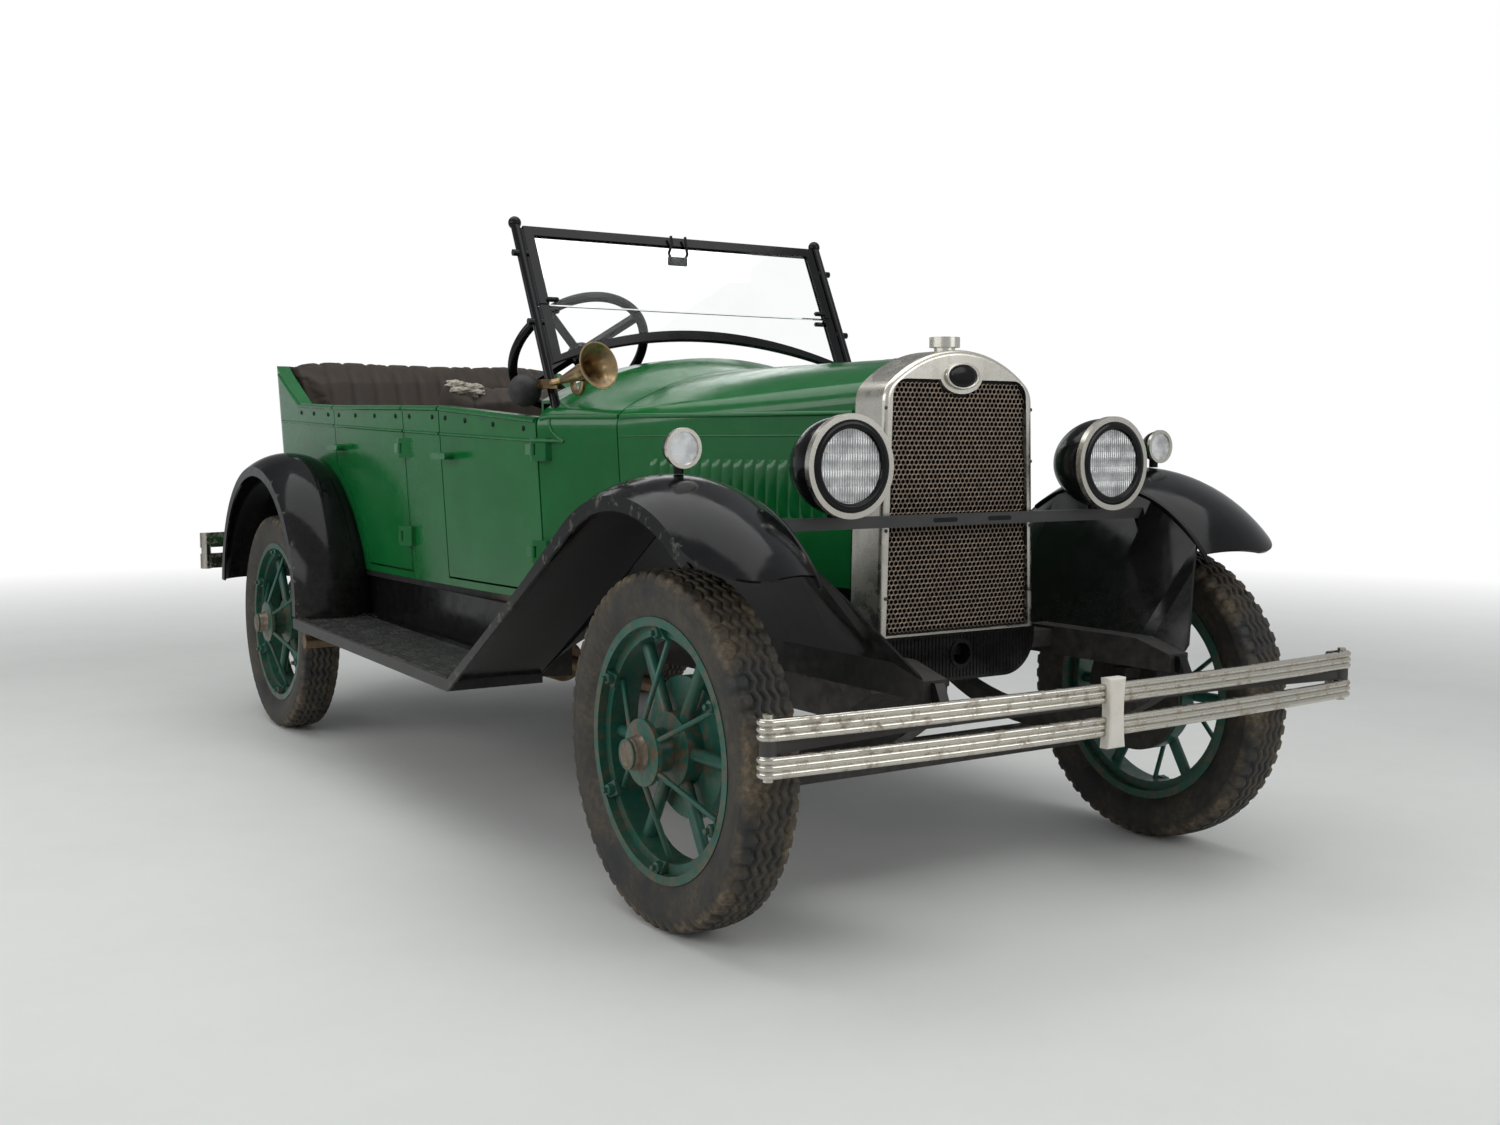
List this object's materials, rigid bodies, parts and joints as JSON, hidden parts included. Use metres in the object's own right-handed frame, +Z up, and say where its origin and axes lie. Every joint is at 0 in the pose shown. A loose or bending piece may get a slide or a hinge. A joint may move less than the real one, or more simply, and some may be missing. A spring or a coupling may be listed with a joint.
{
  "type": "1920s touring car",
  "caption": "Open touring car with spoked wheels, separate fenders, running boards, hinged doors and a lifting two-half bonnet.",
  "frame": {"origin": "on the ground under the middle of the overall length and width", "axes": "+X forward, +Y to the left side, +Z up"},
  "size_m": [4.0829, 1.66, 1.6287],
  "materials": {
    "green_paint": "gloss forest green enamel",
    "black_paint": "gloss black enamel",
    "chassis_black": "dull black chassis paint",
    "wheel_green": "dull blue-green paint",
    "tyre": "dusty black rubber",
    "nickel": "worn nickel plate",
    "worn_chrome": "rust-stained chrome",
    "core_brown": "brown honeycomb",
    "iron": "oily iron",
    "wood_floor": "dark boards",
    "brown_hide": "worn brown hide cloth",
    "glass": "clear glass",
    "lamp_glass": "fluted glass",
    "brass_horn": "dull brass",
    "black_rubber": "matt rubber",
    "cream_paint": "cream paint",
    "rusty_steel": "rusty pipe"
  },
  "bodies": {
    "chassis": {"body_posts": "green_paint", "bonnet_hinge": "black_paint", "bonnet_ledges": "black_paint", "bumper_clamp": "cream_paint", "bumper_irons": "black_paint", "chassis_frame": "chassis_black", "cowl": "green_paint", "driver_controls": "black_paint", "engine": "iron", "exhaust": "rusty_steel", "floor": "wood_floor", "front_axle": "chassis_black", "front_bumper": "worn_chrome", "front_cushion": "brown_hide", "front_fenders": "black_paint", "front_seat_back": "brown_hide", "fuel_tank": "chassis_black", "horn_bell": "brass_horn", "horn_bulb": "black_rubber", "lamp_bar": "black_paint", "lamp_bowls": "black_paint", "lamp_lenses": "lamp_glass", "lamp_rims": "nickel", "leaf_springs": "chassis_black", "radiator_apron": "black_paint", "radiator_core": "core_brown", "radiator_shell": "nickel", "rear_axle": "chassis_black", "rear_bumpers": "worn_chrome", "rear_cushion": "brown_hide", "rear_fenders": "black_paint", "rear_seat_back": "brown_hide", "rear_tub": "green_paint", "running_boards": "black_paint", "screen_frames": "black_paint", "screen_glass": "glass", "screen_posts": "black_paint", "seat_boxes": "wood_floor", "spare_carrier": "wheel_green", "spare_tyre": "tyre", "splash_aprons": "black_paint", "steering_column": "black_paint"},
    "knuckle_right": {"knuckle_right": "chassis_black"},
    "knuckle_left": {"knuckle_left": "chassis_black"},
    "tie_rod": {"tie_rod": "chassis_black"},
    "wheel_front_right": {"wheel_front_right": "wheel_green", "tyre_front_right": "tyre"},
    "wheel_front_left": {"wheel_front_left": "wheel_green", "tyre_front_left": "tyre"},
    "wheel_rear_right": {"wheel_rear_right": "wheel_green", "tyre_rear_right": "tyre"},
    "wheel_rear_left": {"wheel_rear_left": "wheel_green", "tyre_rear_left": "tyre"},
    "steering_wheel": {"steering_wheel": "black_paint"},
    "door_front_right": {"door_front_right": "green_paint"},
    "door_front_left": {"door_front_left": "green_paint"},
    "door_rear_right": {"door_rear_right": "green_paint"},
    "door_rear_left": {"door_rear_left": "green_paint"},
    "bonnet_right": {"bonnet_right": "green_paint"},
    "bonnet_left": {"bonnet_left": "green_paint"}
  },
  "joints": [
    {"name": "steer_right", "type": "hinge", "parent": "chassis", "child": "knuckle_right", "pos_m": [1.4885, -0.606, 0.376], "axis": [0, 0, 1], "range_deg": [-30, 30]},
    {"name": "steer_left", "type": "hinge", "parent": "chassis", "child": "knuckle_left", "pos_m": [1.4885, 0.606, 0.376], "axis": [0, 0, 1], "range_deg": [-30, 30]},
    {"name": "tie_rod_swivel", "type": "hinge", "parent": "knuckle_right", "child": "tie_rod", "pos_m": [1.3385, -0.606, 0.28], "axis": [0, 0, 1], "range_deg": [-30, 30]},
    {"name": "steering_wheel_turn", "type": "hinge", "parent": "chassis", "child": "steering_wheel", "pos_m": [0.1765, -0.268, 1.265], "axis": [0.7547, 0, -0.6561], "range_deg": [-330, 330]},
    {"name": "wheel_front_right_spin", "type": "hinge", "parent": "knuckle_right", "child": "wheel_front_right", "pos_m": [1.4885, -0.711, 0.376], "axis": [0, 1, 0], "continuous": true},
    {"name": "wheel_front_left_spin", "type": "hinge", "parent": "knuckle_left", "child": "wheel_front_left", "pos_m": [1.4885, 0.711, 0.376], "axis": [0, 1, 0], "continuous": true},
    {"name": "wheel_rear_right_spin", "type": "hinge", "parent": "chassis", "child": "wheel_rear_right", "pos_m": [-1.2295, -0.711, 0.376], "axis": [0, 1, 0], "continuous": true},
    {"name": "wheel_rear_left_spin", "type": "hinge", "parent": "chassis", "child": "wheel_rear_left", "pos_m": [-1.2295, 0.711, 0.376], "axis": [0, 1, 0], "continuous": true},
    {"name": "door_front_right_swing", "type": "hinge", "parent": "chassis", "child": "door_front_right", "pos_m": [0.4955, -0.5665, 0.85], "axis": [0, 0, 1], "range_deg": [0, 70]},
    {"name": "door_front_left_swing", "type": "hinge", "parent": "chassis", "child": "door_front_left", "pos_m": [0.4955, 0.5665, 0.85], "axis": [0, 0, -1], "range_deg": [0, 70]},
    {"name": "door_rear_right_swing", "type": "hinge", "parent": "chassis", "child": "door_rear_right", "pos_m": [-0.3545, -0.618, 0.85], "axis": [0, 0, 1], "range_deg": [0, 70]},
    {"name": "door_rear_left_swing", "type": "hinge", "parent": "chassis", "child": "door_rear_left", "pos_m": [-0.3545, 0.618, 0.85], "axis": [0, 0, -1], "range_deg": [0, 70]},
    {"name": "bonnet_right_lift", "type": "hinge", "parent": "chassis", "child": "bonnet_right", "pos_m": [1.0885, 0, 1.198], "axis": [-1, 0, 0], "range_deg": [0, 60]},
    {"name": "bonnet_left_lift", "type": "hinge", "parent": "chassis", "child": "bonnet_left", "pos_m": [1.0885, 0, 1.198], "axis": [1, 0, 0], "range_deg": [0, 60]}
  ],
  "couplings": [
    {"joint": "steer_left", "follows": "steer_right", "ratio": 1},
    {"joint": "tie_rod_swivel", "follows": "steer_right", "ratio": -1},
    {"joint": "steering_wheel_turn", "follows": "steer_right", "ratio": -11}
  ]
}
